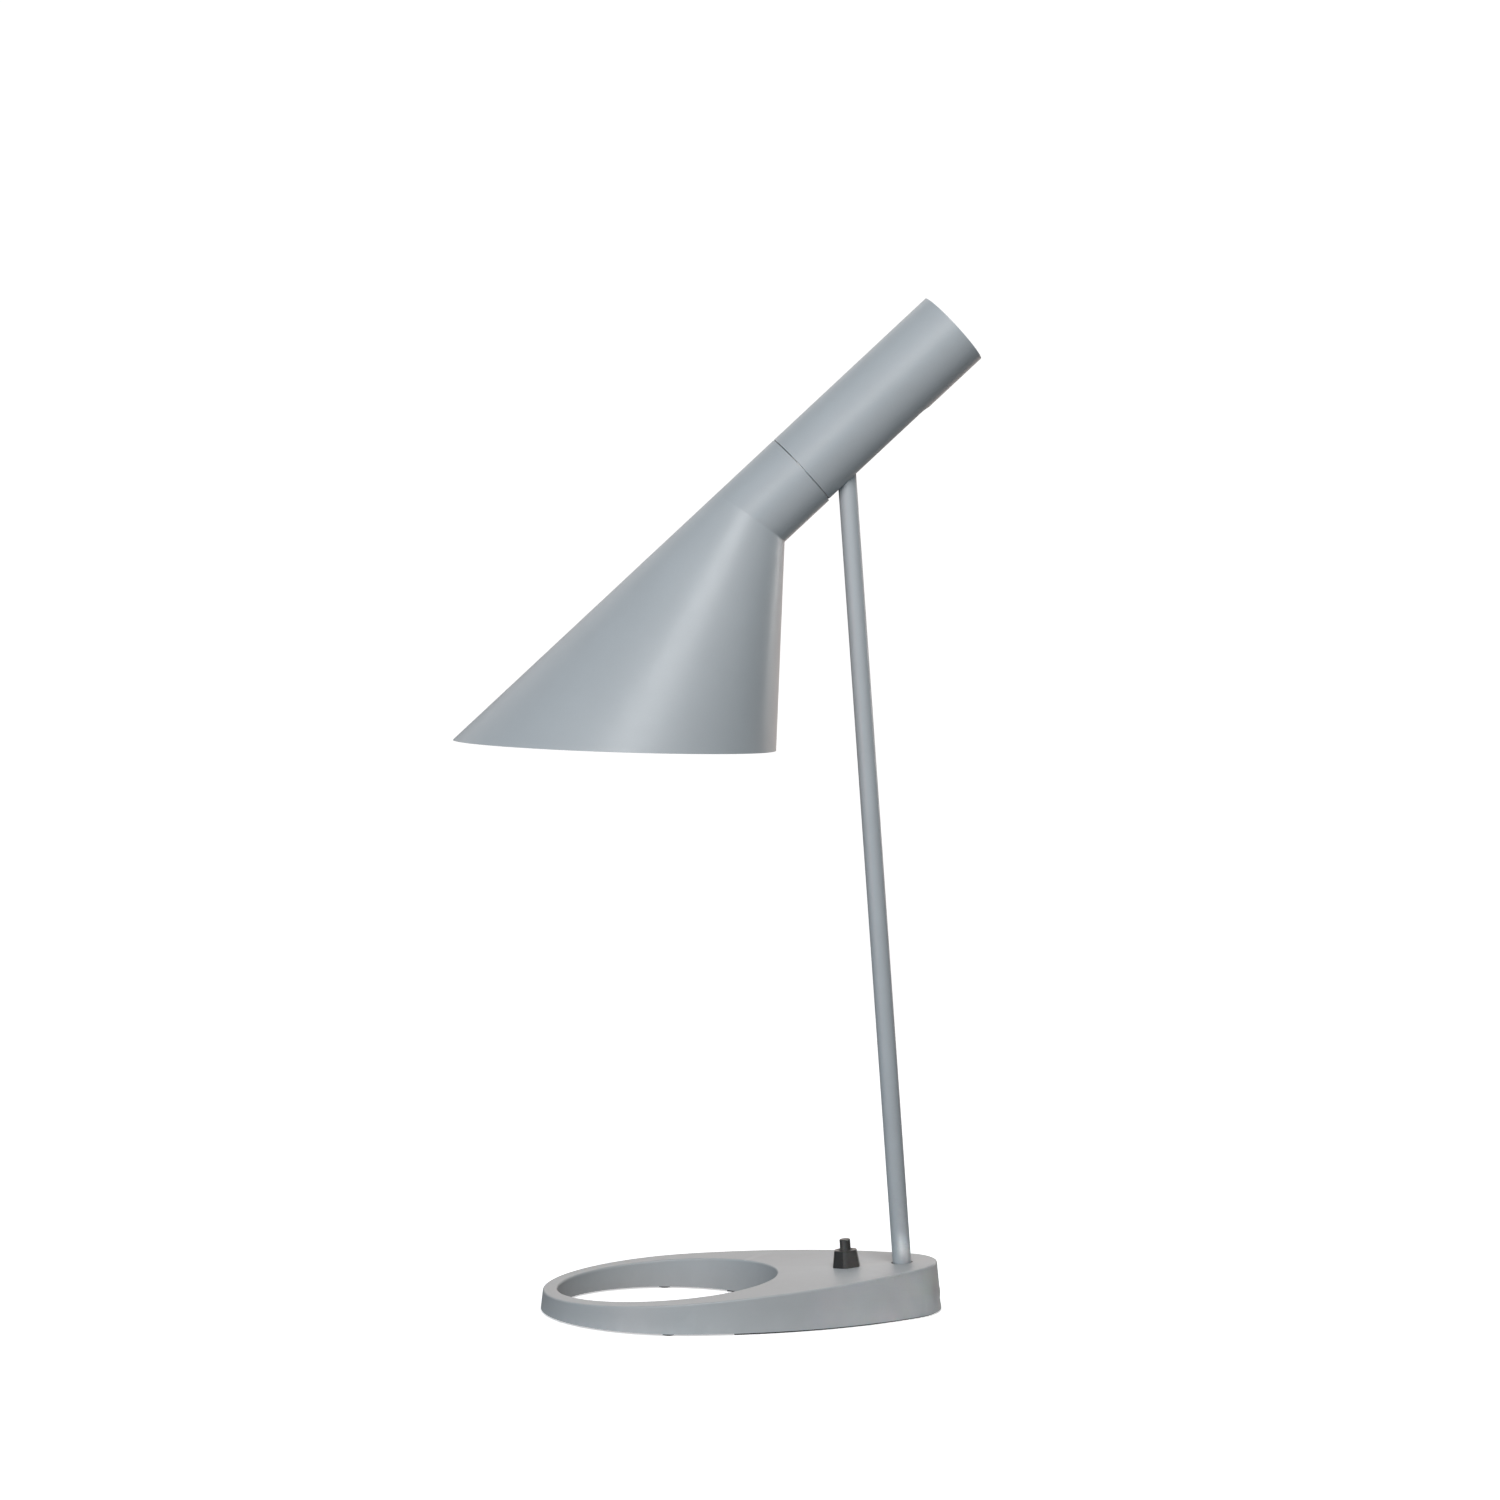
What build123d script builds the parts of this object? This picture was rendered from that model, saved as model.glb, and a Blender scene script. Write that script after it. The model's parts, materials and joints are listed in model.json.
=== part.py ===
from build123d import *
import os
from math import cos, radians, sin, sqrt, tan

os.makedirs("parts", exist_ok=True)

# Architect desk lamp, in millimetres. The origin is where the stem's axis meets the table.
# +Z is up, +X is the rear of the lamp, and the shade points forwards, towards -X.
# The lamp is symmetric about the plane Y = 0.

# ---- Base: an egg-shaped ring casting whose deck rises towards the rear ----
CASTING_BOTTOM = 1.0  # the pad and the feet hold the casting this far above the table
DECK_HEIGHT = 26.15  # deck above the table at the origin
DECK_SLOPE = 4.2  # degrees
SIDE_DRAFT = 6.0  # degrees
NOSE_X, NOSE_RADIUS = -123.5, 79.1
TAIL_X, TAIL_RADIUS = -16.7, 36.8
FLANK_RADIUS = 214.3
HOLE_X, HOLE_RADIUS = -132.5, 61.0
EDGE_ROUND = 1.0
DECK_THICKNESS = 4.0  # over the pocket
POCKET_WALL = 7.0
POCKET_FRONT_X = -88.0
COVER_LEDGE = 3.0
COVER_THICKNESS = 1.5
PAD_FRONT_X = -97.6
PAD_INSET = 1.8
COVER_SCREW_PLACES = [(-79.0, 57.5), (-79.0, -57.5), (-9.0, 24.5), (-9.0, -24.5)]
COVER_SCREW_RADIUS, COVER_BOSS_RADIUS = 1.5, 4.6
FOOT_PLACES = [(-133.0, 69.9), (-133.0, -69.9)]
FOOT_LENGTH, FOOT_WIDTH, FOOT_PEG_RADIUS = 13.4, 6.4, 2.0

# ---- Cord inlet in the rear wall ----
INLET_Z = 8.2
INLET_FACE_X = 17.4  # flat spot-face that the grommet's flange sits on
INLET_INNER_X = 11.0
INLET_BORE_RADIUS = 3.2
GROMMET_RADIUS = 4.6
GROMMET_FLANGE_RADIUS = 6.2

# ---- Stem ----
STEM_LEAN = 4.45  # degrees, towards the shade
STEM_RADIUS, STEM_BORE_RADIUS = 5.2, 4.0
STEM_BOTTOM = 14.0  # distance up the stem's axis
STEM_SEAT_RADIUS, STEM_SEAT_DEPTH = 6.1, 2.5  # for the rubber ring where the stem enters the deck
STEM_BOSS_RADIUS = 9.0
GRUB_HEIGHT, GRUB_RADIUS = 18.3, 2.0
PIVOT_HEIGHT = 487.0
RUNNING_GAP = 0.03  # radial clearance of a shaft in its hole
KNUCKLE_BELOW_PIVOT = 12.0  # where the stem stops and the fork's shank shows

# ---- Push switch ----
SWITCH_X = -32.9
COLLAR_FLATS_BOTTOM, COLLAR_FLATS_TOP, COLLAR_HEIGHT = 14.9, 12.2, 9.4
COLLAR_CORNER_ROUND = 2.6
COLLAR_TURN = 23.6  # degrees about its own axis
BUSH_RADIUS = 4.5
PLUNGER_RADIUS, PLUNGER_TOP = 3.0, 15.35
PLUNGER_FLANGE_RADIUS = 4.0
SWITCH_BOX = 14.0
SWITCH_SHOULDER, SWITCH_FLOOR = -4.5, -16.5
CHAMBER_TOP, CHAMBER_BOTTOM, CHAMBER_RADIUS = -6.0, -15.0, 4.3
FLANGE_TOP, FLANGE_BOTTOM = -6.2, -8.2

# ---- Head: tube and shade share one straight line along their top ----
HEAD_ELEVATION = 43.33  # degrees, tube axis above the horizontal at rest
TUBE_RADIUS, TUBE_WALL = 22.5, 1.2
SEAM_X = -31.75  # along the tube's axis from the pivot, rearwards positive
SEAM_GAP = 0.5
TUBE_REAR = 82.45
SLOT_LENGTH, SLOT_WIDTH = 75.0, 11.6
CONE_HALF_ANGLE = 22.35  # degrees
APEX_X = SEAM_X + 11.8
TIP_FROM_APEX = 253.4
SHADE_WALL = 1.2

# ---- Hinge ----
BARREL_RADIUS, BARREL_HALF_WIDTH = 8.0, 7.0
FORK_GAP_HALF = 3.4
CHEEK_INNER_Y, CHEEK_OUTER_Y = 8.0, 9.8
CHEEK_RADIUS = 9.0
PIVOT_RADIUS = 3.0
SPRING_WASHER_THICKNESS = 1.0
FORK_BORE_RADIUS, FORK_SCREW_RADIUS = 2.4, 2.5
FORK_FLOOR = -5.5  # bottom of the gap between the fork's ears, from the pivot
SADDLE_HALF_LENGTH, SADDLE_THICKNESS = 16.0, 1.6

SLEEVE_RADIUS = TUBE_RADIUS - TUBE_WALL - 0.05  # what fits inside the tube

# ---- Lampholder and bulb, on an axis a little below the tube's ----
HOLDER_Z = -5.0
HOLDER_RADIUS = 14.0
HOLDER_REAR, HOLDER_FRONT = SEAM_X - 4.0, SEAM_X - 38.0
HOLDER_SCREW_Y, HOLDER_SCREW_RADIUS = 9.2, 1.5
THREAD_OUTER_RADIUS, THREAD_INNER_RADIUS = 7.6, 7.2
INSERT_FRONT_X = SEAM_X - 12.0
CAP_TIP_X = SEAM_X - 17.0
BULB_RADIUS, BULB_NECK_RADIUS, BULB_FLARE = 22.5, 9.0, 15.0
BULB_GLASS_WALL = 0.8
BULB_NECK_X = SEAM_X - 36.5
CAP_RADIUS = 6.9

LEAD_RADIUS = 1.6
WIRE_RADIUS = 0.9

# ---- Frames ----
DECK_NORMAL = (-sin(radians(DECK_SLOPE)), 0, cos(radians(DECK_SLOPE)))
STEM_AXIS = (-sin(radians(STEM_LEAN)), 0, cos(radians(STEM_LEAN)))
PIVOT = (-PIVOT_HEIGHT * tan(radians(STEM_LEAN)), 0, PIVOT_HEIGHT)
PIVOT_DISTANCE = PIVOT_HEIGHT / cos(radians(STEM_LEAN))
STEM_FRAME = Plane(origin=(0, 0, 0), x_dir=(STEM_AXIS[2], 0, -STEM_AXIS[0]), z_dir=STEM_AXIS)
HEAD_AXIS = (cos(radians(HEAD_ELEVATION)), 0, sin(radians(HEAD_ELEVATION)))
HEAD_FRAME = Plane(origin=PIVOT, x_dir=HEAD_AXIS, z_dir=(-HEAD_AXIS[2], 0, HEAD_AXIS[0]))


def deck_z(x, below=0.0):
    """Height of the deck's plane, or of a plane a given distance under it."""
    return DECK_HEIGHT + tan(radians(DECK_SLOPE)) * x - below / cos(radians(DECK_SLOPE))


def deck_frame(x, y=0.0):
    """A frame on the deck, its Z square to the deck."""
    x_dir = (DECK_NORMAL[2], 0, -DECK_NORMAL[0])
    return Plane(origin=(x, y, deck_z(x)), x_dir=x_dir, z_dir=DECK_NORMAL)


def under_deck(solid, below=0.0):
    """The part of a solid that lies under the deck, or under a plane below it."""
    cut = Plane(origin=(0, 0, deck_z(0, below)), z_dir=DECK_NORMAL)
    return split(solid, bisect_by=cut, keep=Keep.BOTTOM)


# ---- Plain shapes ----
def up(radius, low, high):
    """A cylinder along Z between two heights."""
    return Pos(0, 0, low) * Cylinder(radius, high - low, align=(Align.CENTER, Align.CENTER, Align.MIN))


def along_x(radius, low, high):
    """A cylinder along X between two places."""
    return Rot(0, 90, 0) * up(radius, low, high)


def along_y(radius, low, high):
    """A cylinder along Y between two places."""
    return Rot(-90, 0, 0) * up(radius, low, high)


def block(x, y, z):
    """A box given by its lowest and highest X, Y and Z."""
    size = (x[1] - x[0], y[1] - y[0], z[1] - z[0])
    return Pos(x[0], y[0], z[0]) * Box(*size, align=(Align.MIN, Align.MIN, Align.MIN))


def slab(outline, low, high):
    """A flat outline in the XY plane raised between two heights."""
    return Pos(0, 0, low) * extrude(outline, amount=high - low)


def mirrored(solid):
    """A solid and its mirror image across the plane Y = 0."""
    return Compound(children=[*solid.solids(), *mirror(solid, about=Plane.XZ).solids()])


def lead(points, radius, name):
    """A round lead along a route, with each arc as large as its two runs allow."""
    corners = [Vector(*point) for point in points]
    radii = []
    for before, corner, after in zip(corners, corners[1:], corners[2:]):
        run_in, run_out = corner - before, after - corner
        turn = run_in.get_angle(run_out)
        shorter = min(run_in.length, run_out.length)
        radii.append(0.45 * shorter / tan(radians(turn / 2)))
    path = FilletPolyline(*corners, radius=radii)
    section = Plane(origin=path @ 0, z_dir=path % 0) * Circle(radius)
    print(name, "radii", [round(r, 1) for r in radii], "length", round(path.length, 1))
    return sweep(section, path=path)


# ---- Base ----
def flank_centre():
    """Where the far flank's arc has its centre: it touches the nose and tail arcs inside."""
    to_nose, to_tail = FLANK_RADIUS - NOSE_RADIUS, FLANK_RADIUS - TAIL_RADIUS
    apart = TAIL_X - NOSE_X
    along = (to_nose**2 - to_tail**2 + apart**2) / (2 * apart)
    return NOSE_X + along, -sqrt(to_nose**2 - along**2)


def egg(inset=0.0):
    """The base's outline: a nose arc, a tail arc and two long flank arcs tangent to both."""
    centre = Vector(*flank_centre())
    nose, tail = Vector(NOSE_X, 0), Vector(TAIL_X, 0)
    flank_radius = FLANK_RADIUS - inset
    nose_end = centre + (nose - centre).normalized() * flank_radius
    tail_end = centre + (tail - centre).normalized() * flank_radius
    crown = centre + ((nose_end + tail_end) * 0.5 - centre).normalized() * flank_radius
    nose_tip = Vector(NOSE_X - NOSE_RADIUS + inset, 0)
    tail_tip = Vector(TAIL_X + TAIL_RADIUS - inset, 0)
    below = [Vector(p.X, -p.Y) for p in (nose_end, crown, tail_end)]
    return make_face(
        [
            ThreePointArc(nose_end, nose_tip, below[0]),
            ThreePointArc(*below),
            ThreePointArc(below[2], tail_tip, tail_end),
            ThreePointArc(tail_end, crown, nose_end),
        ]
    )


def rear_outline(inset, front_x, from_hole):
    """The egg behind front_x, keeping clear of the big hole by from_hole."""
    behind = Pos(front_x, 0) * Rectangle(300, 300, align=(Align.MIN, Align.CENTER))
    return (egg(inset) & behind) - Pos(HOLE_X, 0) * Circle(HOLE_RADIUS + from_hole)


def stem_hole():
    """The rubber ring's seat, the fitted hole and the narrow lip that the stem stands on."""
    seat = DECK_HEIGHT - STEM_SEAT_DEPTH
    holes = up(STEM_SEAT_RADIUS, seat, DECK_HEIGHT + 10)
    holes += up(STEM_RADIUS + RUNNING_GAP, STEM_BOTTOM, seat)
    return STEM_FRAME * (holes + up(STEM_BORE_RADIUS - 0.8, 0, STEM_BOTTOM))


def grub_holes(radius):
    """Two cross holes through the stem's boss."""
    return STEM_FRAME * Pos(0, 0, GRUB_HEIGHT) * along_y(radius, -12, 12)


def lies_on_deck(edge):
    return all(abs(point.Z - deck_z(point.X)) < 0.01 for point in (edge @ 0, edge @ 0.5, edge @ 1))


def base_casting():
    casting = extrude(Pos(0, 0, CASTING_BOTTOM) * egg(), amount=36, taper=SIDE_DRAFT)
    casting = under_deck(casting) - Pos(HOLE_X, 0) * up(HOLE_RADIUS, 0, 40)
    casting = fillet(casting.edges().filter_by(lies_on_deck), EDGE_ROUND)
    pocket = slab(rear_outline(POCKET_WALL, POCKET_FRONT_X, POCKET_WALL + 1), 0, 40)
    casting -= under_deck(pocket, DECK_THICKNESS)
    ledge = POCKET_WALL - COVER_LEDGE
    cover_top = CASTING_BOTTOM + COVER_THICKNESS
    casting -= slab(rear_outline(ledge, POCKET_FRONT_X - COVER_LEDGE, ledge + 1), 0, cover_top)
    bosses = [Pos(x, y) * up(COVER_BOSS_RADIUS, cover_top, 40) for x, y in COVER_SCREW_PLACES]
    bosses.append(STEM_FRAME * up(STEM_BOSS_RADIUS, STEM_BOTTOM - 1.5, DECK_HEIGHT - 2))
    for boss in bosses:
        casting += under_deck(boss, 1)
    casting -= stem_hole() + grub_holes(GRUB_RADIUS)
    for x, y in COVER_SCREW_PLACES:
        casting -= Pos(x, y) * up(COVER_SCREW_RADIUS, 0, 12)
    for x, y in FOOT_PLACES:
        casting -= Pos(x, y) * up(FOOT_PEG_RADIUS + 0.02, 0, 6)
    casting -= deck_frame(SWITCH_X) * up(BUSH_RADIUS + 0.05, -10, 5)
    inlet = Pos(0, 0, INLET_Z) * (along_x(GROMMET_RADIUS, 5, 40) + along_x(7.0, INLET_FACE_X, 40))
    return casting - inlet


def base_cover():
    """Steel plate that closes the pocket, flush with the underside of the casting."""
    clearance = 0.15
    inset = POCKET_WALL - COVER_LEDGE + clearance
    outline = rear_outline(inset, POCKET_FRONT_X - COVER_LEDGE + clearance, inset + 1)
    cover = slab(outline, CASTING_BOTTOM, CASTING_BOTTOM + COVER_THICKNESS)
    countersink = Cone(2.9, 1.55, 1.3, align=(Align.CENTER, Align.CENTER, Align.MIN))
    for x, y in COVER_SCREW_PLACES:
        cover -= Pos(x, y, CASTING_BOTTOM) * countersink + Pos(x, y) * up(COVER_SCREW_RADIUS + 0.1, 0, 5)
    return cover


def cover_screws():
    screws = []
    for x, y in COVER_SCREW_PLACES:
        head = Cone(2.75, 1.45, 1.3, align=(Align.CENTER, Align.CENTER, Align.MIN))
        screw = Pos(0, 0, CASTING_BOTTOM) * head + up(COVER_SCREW_RADIUS - 0.05, CASTING_BOTTOM, 10)
        for turn in (0, 90):
            screw -= Rot(0, 0, turn) * block((-1.6, 1.6), (-0.3, 0.3), (0, CASTING_BOTTOM + 0.8))
        screws += (Pos(x, y) * screw).solids()
    return Compound(children=screws)


def base_pad():
    """Rubber sheet under the rear of the base, with holes over the cover's screws."""
    pad = slab(rear_outline(PAD_INSET, PAD_FRONT_X, PAD_INSET), 0, CASTING_BOTTOM)
    for x, y in COVER_SCREW_PLACES:
        pad -= Pos(x, y) * up(3.6, -1, 2)
    return pad


def front_feet():
    """Oblong rubber feet across the ring, each on a peg."""
    foot = slab(Rot(0, 0, 90) * SlotOverall(FOOT_LENGTH, FOOT_WIDTH), 0, CASTING_BOTTOM)
    foot += up(FOOT_PEG_RADIUS, 0, 5.5)
    return Compound(children=[solid for x, y in FOOT_PLACES for solid in (Pos(x, y) * foot).solids()])


def cord_grommet():
    ring = along_x(GROMMET_RADIUS - 0.05, INLET_INNER_X, INLET_FACE_X)
    ring += along_x(GROMMET_FLANGE_RADIUS, INLET_FACE_X, INLET_FACE_X + 1.6)
    ring += along_x(GROMMET_RADIUS + 0.9, INLET_INNER_X, INLET_INNER_X + 1.2)
    return Pos(0, 0, INLET_Z) * (ring - along_x(INLET_BORE_RADIUS, 0, 40))


# ---- Stem and its hinge fork ----
def stem():
    top = PIVOT_DISTANCE - KNUCKLE_BELOW_PIVOT
    return STEM_FRAME * (up(STEM_RADIUS, STEM_BOTTOM, top) - up(STEM_BORE_RADIUS, 0, 600))


def stem_ring():
    """Rubber ring between stem and deck, just below the deck."""
    ring = up(STEM_SEAT_RADIUS - RUNNING_GAP, DECK_HEIGHT - STEM_SEAT_DEPTH, DECK_HEIGHT + 5)
    ring -= up(STEM_RADIUS + RUNNING_GAP, 0, DECK_HEIGHT + 10)
    return under_deck(STEM_FRAME * ring, 0.2)


def stem_grub_screws():
    screw = along_y(GRUB_RADIUS - 0.03, STEM_RADIUS, 9.4)
    socket = Pos(0, 8.0, 0) * Rot(-90, 0, 0) * extrude(RegularPolygon(1.15, 6), amount=5)
    return STEM_FRAME * Pos(0, 0, GRUB_HEIGHT) * mirrored(screw - socket)


def stem_fork():
    """Hollow knuckle on top of the stem: the lead runs up between its two ears."""
    fork = along_y(BARREL_RADIUS, -BARREL_HALF_WIDTH, BARREL_HALF_WIDTH)
    fork += up(STEM_RADIUS, -KNUCKLE_BELOW_PIVOT, 0)
    fork += up(STEM_BORE_RADIUS - 0.03, -26, -KNUCKLE_BELOW_PIVOT)
    fork -= block((-20, 20), (-FORK_GAP_HALF, FORK_GAP_HALF), (FORK_FLOOR, 20))
    fork -= up(FORK_BORE_RADIUS, -30, 0)
    fork -= along_y(FORK_SCREW_RADIUS, -20, 20)
    return STEM_FRAME * Pos(0, 0, PIVOT_DISTANCE) * fork


def friction_washers():
    washer = along_y(7.0, BARREL_HALF_WIDTH, CHEEK_INNER_Y) - along_y(PIVOT_RADIUS + 0.1, 0, 20)
    return HEAD_FRAME * mirrored(washer)


def spring_washers():
    outer = CHEEK_OUTER_Y + SPRING_WASHER_THICKNESS
    washer = along_y(5.5, CHEEK_OUTER_Y, outer) - along_y(PIVOT_RADIUS + 0.1, 0, 20)
    return HEAD_FRAME * mirrored(washer)


def pivot_screws():
    """Shoulder screws: the head's cheeks turn on their shoulders."""
    head_y = CHEEK_OUTER_Y + SPRING_WASHER_THICKNESS
    screw = along_y(FORK_SCREW_RADIUS - 0.05, FORK_GAP_HALF + 0.3, BARREL_HALF_WIDTH)
    screw += along_y(PIVOT_RADIUS, BARREL_HALF_WIDTH, head_y)
    screw += along_y(5.0, head_y, head_y + 3.0)
    socket = Pos(0, head_y + 1.2, 0) * Rot(-90, 0, 0) * extrude(RegularPolygon(1.75, 6), amount=5)
    return HEAD_FRAME * mirrored(screw - socket)


# ---- Push switch, each piece square to the deck ----
def hexagon(flats):
    """A hexagon by its width across flats, with rounded corners."""
    shape = RegularPolygon(flats / 2, 6, major_radius=False)
    return fillet(shape.vertices(), COLLAR_CORNER_ROUND)


def switch_collar():
    """Tapered hexagonal nut with a rounded, dished top."""
    collar = loft([hexagon(COLLAR_FLATS_BOTTOM), Pos(0, 0, COLLAR_HEIGHT) * hexagon(COLLAR_FLATS_TOP)])
    collar = fillet(collar.edges().group_by(Axis.Z)[-1], 0.7)
    dish = Pos(0, 0, COLLAR_HEIGHT + 8.4) * Sphere(9.6)
    collar -= dish + up(BUSH_RADIUS + 0.03, -1, 6.5) + up(PLUNGER_RADIUS + 0.5, 0, 20)
    return deck_frame(SWITCH_X) * Rot(0, 0, COLLAR_TURN) * collar


def switch_washer():
    washer = up(7.0, SWITCH_SHOULDER, -DECK_THICKNESS) - up(BUSH_RADIUS + 0.1, -10, 5)
    for turn in range(0, 360, 30):
        washer -= Rot(0, 0, turn) * block((6.2, 8), (-0.5, 0.5), (-10, 0))
    return deck_frame(SWITCH_X) * washer


def switch_body():
    half = SWITCH_BOX / 2
    body = block((-half, half), (-half, half), (SWITCH_FLOOR, SWITCH_SHOULDER))
    body = fillet(body.edges().filter_by(Axis.Z), 1.0)
    body += up(BUSH_RADIUS, SWITCH_SHOULDER, 6.3)
    body -= up(PLUNGER_RADIUS + 0.05, CHAMBER_TOP, 10) + up(CHAMBER_RADIUS, CHAMBER_BOTTOM, CHAMBER_TOP)
    return deck_frame(SWITCH_X) * body


def switch_terminals():
    """Two brass blades with a hole each for the wires."""
    blade = block((-4.4, -3.6), (1.6, 5.4), (SWITCH_FLOOR - 3.6, SWITCH_FLOOR))
    blade -= Pos(0, 3.5, SWITCH_FLOOR - 2.2) * along_x(0.6, -6, 0)
    return deck_frame(SWITCH_X) * mirrored(blade)


def switch_plunger():
    plunger = up(PLUNGER_RADIUS, FLANGE_TOP, PLUNGER_TOP)
    plunger = chamfer(plunger.edges().group_by(Axis.Z)[-1], 0.5)
    plunger += up(PLUNGER_FLANGE_RADIUS, FLANGE_BOTTOM, FLANGE_TOP) + up(1.2, -11, FLANGE_BOTTOM)
    return deck_frame(SWITCH_X) * plunger


def switch_spring():
    wire, mean_radius = 0.3, 2.6
    low, high = CHAMBER_BOTTOM + wire + 0.05, FLANGE_BOTTOM - wire - 0.05
    path = Helix(pitch=(high - low) / 5, height=high - low, radius=mean_radius)
    coil = sweep(Plane(origin=path @ 0, z_dir=path % 0) * Circle(wire), path=path, is_frenet=True)
    return deck_frame(SWITCH_X) * Pos(0, 0, low) * coil


# ---- Wiring inside the base ----
TERMINAL_X, TERMINAL_Y = -47.0, 31.0
POLE_OFFSET, TERMINAL_SCREW_Y = 5.0, 3.8
TERMINAL_LOW = -DECK_THICKNESS - 10.5
BLADE_X = SWITCH_X - 5.4  # where the wires reach the switch's blades


def terminal_screw_places():
    return [(x, y) for x in (-POLE_OFFSET, POLE_OFFSET) for y in (-TERMINAL_SCREW_Y, TERMINAL_SCREW_Y)]


def terminal_block():
    """Two-pole connector block on the pocket's ceiling, its screws facing down."""
    body = block((-10, 10), (-8, 8), (TERMINAL_LOW, -DECK_THICKNESS))
    body = fillet(body.edges().filter_by(Axis.Z), 1.2)
    for x in (-POLE_OFFSET, POLE_OFFSET):
        body -= Pos(x, 0, TERMINAL_LOW + 4.2) * along_y(1.9, -20, 20)
    for x, y in terminal_screw_places():
        body -= Pos(x, y) * up(1.7, TERMINAL_LOW - 1, TERMINAL_LOW + 4)
    return deck_frame(TERMINAL_X, TERMINAL_Y) * body


def terminal_screws():
    screws = []
    for x, y in terminal_screw_places():
        screw = up(1.6, TERMINAL_LOW + 0.8, TERMINAL_LOW + 2.3)
        screw -= block((-2, 2), (-0.25, 0.25), (TERMINAL_LOW, TERMINAL_LOW + 1.3))
        screws += (Pos(x, y) * screw).solids()
    return deck_frame(TERMINAL_X, TERMINAL_Y) * Compound(children=screws)


def on_stem(distance):
    return tuple(distance * part for part in STEM_AXIS)


def stem_lead():
    """From the connector block under the stem and up its bore to the hinge's centre."""
    route = [
        (TERMINAL_X + POLE_OFFSET, TERMINAL_Y - 9.0, 12.2),
        (-36.0, 15.5, 7.0),
        (-14.0, 11.0, 5.2),
        on_stem(4.8),
        on_stem(24.0),
    ]
    start = lead(route, LEAD_RADIUS, "stem_lead")
    riser = STEM_FRAME * up(LEAD_RADIUS, 24.0, PIVOT_DISTANCE - LEAD_RADIUS - 0.1)
    return start + riser


def switch_leads():
    """Two single wires from the connector block to the switch's blades."""
    start = (TERMINAL_X - POLE_OFFSET, TERMINAL_Y - 9.0, 12.0)
    near = [start, (-50.5, 12.0, 6.6), (-44.0, 5.2, 5.2), (BLADE_X, 3.5, 5.0)]
    far = [(start[0] - 2.2, start[1], start[2]), (-54.5, 9.0, 6.2), (-46.5, -2.2, 4.6), (BLADE_X, -3.5, 5.0)]
    wires = [lead(route, WIRE_RADIUS, "switch_lead") for route in (near, far)]
    return Compound(children=[solid for wire in wires for solid in wire.solids()])


def pivot_lead():
    """The same lead from the hinge's centre, over the fork and down to the lampholder.

    It turns with the head, and its round end stays on the hinge's axis. In the head's frame.
    """
    route = [
        (0, 0, 0),
        (2.5, 0, 9.5),
        (-3.5, 0, 17.3),
        (-14.5, 0, 16.6),
        (-22.5, 0, 7.5),
        (SEAM_X + 3.3, 0, HOLDER_Z),
        (HOLDER_REAR - 4.5, 0, HOLDER_Z),
    ]
    return HEAD_FRAME * (lead(route, LEAD_RADIUS, "pivot_lead") + Sphere(LEAD_RADIUS))


# ---- Head ----
def half_space_cut(solid, origin, normal, keep=Keep.BOTTOM):
    return split(solid, bisect_by=Plane(origin=origin, z_dir=normal), keep=keep)


def shade_form(inset):
    """Neck cylinder and right circular cone that share their top line, moved in by a wall.

    The two surfaces meet in one plane, so each is cut there and they join on an ellipse.
    """
    half = radians(CONE_HALF_ANGLE)
    axis = Vector(-cos(half), 0, -sin(half))
    apex = Vector(APEX_X, 0, TUBE_RADIUS) + axis * (inset / sin(half))
    near, far = 30.0, 300.0
    height = far - near
    cone = Cone(near * tan(half), far * tan(half), height, align=(Align.CENTER, Align.CENTER, Align.MIN))
    cone = Plane(origin=apex + axis * near, x_dir=(-sin(half), 0, cos(half)), z_dir=axis) * cone
    neck = along_x(TUBE_RADIUS - inset, SEAM_X - 100, SEAM_X - SEAM_GAP / 2 + (1 if inset else 0))
    crease = (APEX_X - TUBE_RADIUS / tan(half), 0, TUBE_RADIUS - inset)
    normal = (-1, 0, -tan(half) / 2)
    return half_space_cut(neck, crease, normal) + half_space_cut(cone, crease, normal, Keep.TOP)


def shade():
    tip = (APEX_X - TIP_FROM_APEX, 0, TUBE_RADIUS)
    form = shade_form(0.0) - shade_form(SHADE_WALL)
    return HEAD_FRAME * half_space_cut(form, tip, (-1, 0, -1))


def head_tube():
    tube = along_x(TUBE_RADIUS, SEAM_X + SEAM_GAP / 2, TUBE_REAR)
    tube -= along_x(TUBE_RADIUS - TUBE_WALL, SEAM_X - 5, TUBE_REAR + 5)
    half = SLOT_WIDTH / 2
    slot_end = SEAM_X + SLOT_LENGTH - half
    tube -= block((SEAM_X - 5, slot_end), (-half, half), (-30, -10)) + Pos(slot_end, 0) * up(half, -30, -10)
    return HEAD_FRAME * tube


def tube_end_cap():
    """Recessed cap with a ring of vent holes round a middle one."""
    face = TUBE_REAR - 2.5
    cap = along_x(SLEEVE_RADIUS, face - 8, face) - along_x(SLEEVE_RADIUS - 1.2, face - 9, face - 1.5)
    cap -= along_x(2.0, 0, 100)
    for turn in range(0, 360, 45):
        cap -= Rot(turn, 0, 0) * Pos(0, 0, 12) * along_x(2.0, 0, 100)
    return HEAD_FRAME * cap


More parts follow.
